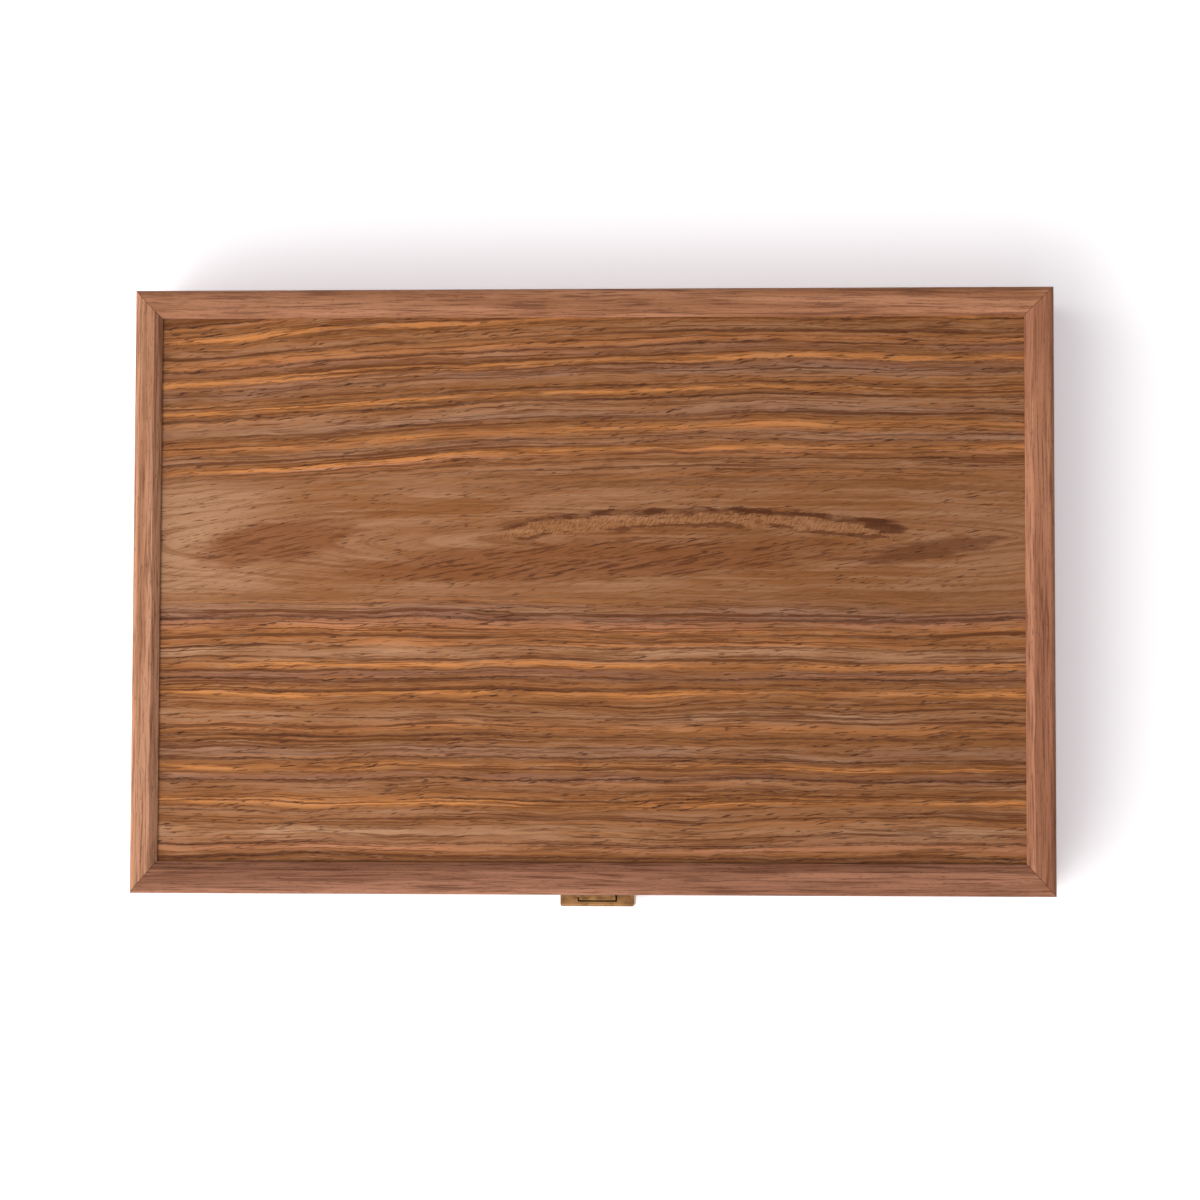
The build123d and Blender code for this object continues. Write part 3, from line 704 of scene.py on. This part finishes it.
def dice_plastic():
    s, colour = ivory_plastic("dice_plastic")
    masks = [pip_mask(s, centre, turn) for centre, turn in die_centres()]
    s.colour(s.mix(s.math("MAXIMUM", *masks), colour, INK))
    return s


def cube_plastic():
    s, colour = ivory_plastic("cube_plastic")
    s.colour(colour)
    return s


def dark_paint():
    s = Shader("number_paint", roughness=0.5)
    speckle = s.noise(s.x, s.y, s.z, 0.4, 0.4)
    s.colour(s.mix(speckle, INK, FADED_INK))
    return s


def number_cube():
    """The six stakes on the doubling cube, each sunk into its face but for a hair."""
    low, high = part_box("doubling_cube")
    centre = (Vector(low) + Vector(high)) / 2
    half = (high[2] - low[2]) / 2
    quarter = math.pi / 2
    faces = {
        "64": ((0, 0, 1), (0, 0, 0)),
        "2": ((0, 0, -1), (math.pi, 0, 0)),
        "4": ((0, -1, 0), (quarter, 0, 0)),
        "8": ((0, 1, 0), (quarter, 0, math.pi)),
        "16": ((1, 0, 0), (quarter, 0, quarter)),
        "32": ((-1, 0, 0), (quarter, 0, -quarter)),
    }
    paint = dark_paint().material
    for text, (outward, turn) in faces.items():
        data = bpy.data.curves.new(f"cube_number_{text}", "FONT")
        data.body = text
        data.size = NUMBER_SIZE
        data.align_x = "CENTER"
        data.align_y = "CENTER"
        data.extrude = NUMBER_THICKNESS
        data.materials.append(paint)
        number = bpy.data.objects.new(f"cube_number_{text}", data)
        number.rotation_euler = turn
        number.location = centre + Vector(outward) * (half - NUMBER_THICKNESS / 2)
        bpy.context.scene.collection.objects.link(number)
        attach(number, "base")


# The finishes, node by node
def dress_everything():
    dress("lid_outer_veneer", FiguredVeneer("figured_veneer"))
    dress("base_outer_veneer", FiguredVeneer("figured_veneer_below", turned=True))
    dress_strips()
    core = grained_wood("core_wood", CORE_TONES)
    field = grained_wood("field_wood", FIELD_TONES, offset=61.0)
    light_inlay = grained_wood("light_inlay_wood", LIGHT_INLAY_TONES, offset=17.0, pores=0.4)
    dark_inlay = grained_wood("dark_inlay_wood", DARK_INLAY_TONES, offset=29.0)
    divider = grained_wood("divider_wood", DIVIDER_TONES, offset=83.0)
    hinge_brass = brushed_metal("hinge_brass", linear(176, 142, 88), linear(146, 113, 66))
    catch_brass = brushed_metal("catch_brass", linear(164, 121, 78), linear(120, 85, 53))
    fixings = brushed_metal("screw_brass", linear(172, 138, 88), linear(142, 110, 66), 0.28)
    steel = brushed_metal("spring_steel", linear(154, 154, 158), linear(116, 116, 122))
    for half in ("base", "lid"):
        dress(f"{half}_core_panel", core)
        dress(f"{half}_field_veneer", field)
        dress(f"{half}_points_light", light_inlay)
        dress(f"{half}_points_dark", dark_inlay)
        dress(f"{half}_rack_divider", divider)
        dress(f"hinge_screws_{half}", fixings)
        for side in ("left", "right"):
            dress(f"hinge_{side}_{half}_leaf", hinge_brass)
    for side in ("left", "right"):
        dress(f"hinge_{side}_pin", fixings)
    for node in ("catch_housing", "catch_strike", "catch_lever"):
        dress(node, catch_brass)
    for node in ("catch_housing_screws", "catch_strike_screws", "catch_lever_pin"):
        dress(node, fixings)
    dress("catch_spring", steel)
    dress("checkers_light", turned_wood("light_checker_wood", LIGHT_CHECKER_TONES))
    dress("checkers_dark", turned_wood("dark_checker_wood", DARK_CHECKER_TONES))
    dress("dice", dice_plastic())
    dress("doubling_cube", cube_plastic())


# The studio
FLOOR_SIZE = 6.0
FLOOR_WHITE = (0.90, 0.90, 0.90, 1.0)
FLOOR_ROUGHNESS = 0.9
FLOOR_GLOW = 0.34
FLOOR_SHADE = (1.0, 0.93, 0.99, 1.0)
SKY_HORIZON = 0.16
SKY_ZENITH = 0.36
SIDE_GLOW = 2.6
SIDE_EDGE = 0.35
SIDE_DIRECTION = (-0.78, -0.47, 0.42)
KEY_PLACE = (-0.52, -0.78, 1.12)
KEY_SIZE = 0.8
KEY_POWER = 4.6


def seen_directly(tree):
    """1 for rays from the camera, from gloss and through glass, else 0."""
    path = tree.nodes.new("ShaderNodeLightPath")
    seen = path.outputs["Is Camera Ray"]
    for name in ("Is Glossy Ray", "Is Transmission Ray"):
        either = tree.nodes.new("ShaderNodeMath")
        either.operation = "MAXIMUM"
        tree.links.new(seen, either.inputs[0])
        tree.links.new(path.outputs[name], either.inputs[1])
        seen = either.outputs[0]
    return seen


def make_floor():
    """A matt white floor that glows a little where it is seen, yet lights nothing."""
    material = bpy.data.materials.new("floor_white")
    material.use_nodes = True
    tree = material.node_tree
    surface = tree.nodes["Principled BSDF"]
    surface.inputs["Base Color"].default_value = FLOOR_WHITE
    surface.inputs["Roughness"].default_value = FLOOR_ROUGHNESS
    surface.inputs["Specular IOR Level"].default_value = 0.0
    glow = tree.nodes.new("ShaderNodeMath")
    glow.operation = "MULTIPLY"
    tree.links.new(seen_directly(tree), glow.inputs[0])
    glow.inputs[1].default_value = FLOOR_GLOW
    surface.inputs["Emission Color"].default_value = FLOOR_SHADE
    tree.links.new(glow.outputs[0], surface.inputs["Emission Strength"])
    half = FLOOR_SIZE / 2
    mesh = bpy.data.meshes.new("floor")
    corners = [(-half, -half, 0), (half, -half, 0), (half, half, 0), (-half, half, 0)]
    mesh.from_pydata(corners, [], [(0, 1, 2, 3)])
    mesh.materials.append(material)
    floor = bpy.data.objects.new("floor", mesh)
    bpy.context.scene.collection.objects.link(floor)


def make_world():
    """A dim sky with a bright lobe on the left, and plain white where it is seen."""
    world = bpy.data.worlds.new("studio")
    world.use_nodes = True
    bpy.context.scene.world = world
    tree = world.node_tree
    background = tree.nodes["Background"]
    background.inputs["Color"].default_value = (1.0, 1.0, 1.0, 1.0)
    directions = tree.nodes.new("ShaderNodeTexCoord")
    split = tree.nodes.new("ShaderNodeSeparateXYZ")
    tree.links.new(directions.outputs["Generated"], split.inputs[0])
    sky = tree.nodes.new("ShaderNodeMapRange")
    tree.links.new(split.outputs["Z"], sky.inputs["Value"])
    sky.inputs["To Min"].default_value = SKY_HORIZON
    sky.inputs["To Max"].default_value = SKY_ZENITH
    facing = tree.nodes.new("ShaderNodeVectorMath")
    facing.operation = "DOT_PRODUCT"
    tree.links.new(directions.outputs["Generated"], facing.inputs[0])
    facing.inputs[1].default_value = Vector(SIDE_DIRECTION).normalized()
    side = tree.nodes.new("ShaderNodeMapRange")
    side.interpolation_type = "SMOOTHSTEP"
    tree.links.new(facing.outputs["Value"], side.inputs["Value"])
    side.inputs["From Min"].default_value = SIDE_EDGE
    side.inputs["To Max"].default_value = SIDE_GLOW
    both = tree.nodes.new("ShaderNodeMath")
    tree.links.new(sky.outputs[0], both.inputs[0])
    tree.links.new(side.outputs[0], both.inputs[1])
    strength = tree.nodes.new("ShaderNodeMix")
    tree.links.new(seen_directly(tree), strength.inputs["Factor"])
    tree.links.new(both.outputs[0], strength.inputs["A"])
    strength.inputs["B"].default_value = 1.0
    tree.links.new(strength.outputs["Result"], background.inputs["Strength"])


def make_key_light():
    data = bpy.data.lights.new("key_light", "AREA")
    data.shape = "SQUARE"
    data.size = KEY_SIZE
    data.energy = KEY_POWER
    light = bpy.data.objects.new("key_light", data)
    light.location = KEY_PLACE
    towards_case = -Vector(KEY_PLACE)
    light.rotation_euler = towards_case.to_track_quat("-Z", "Y").to_euler()
    bpy.context.scene.collection.objects.link(light)


bpy.context.scene.view_settings.view_transform = "Standard"
make_camera()
make_floor()
make_world()
make_key_light()
dress_everything()
number_cube()
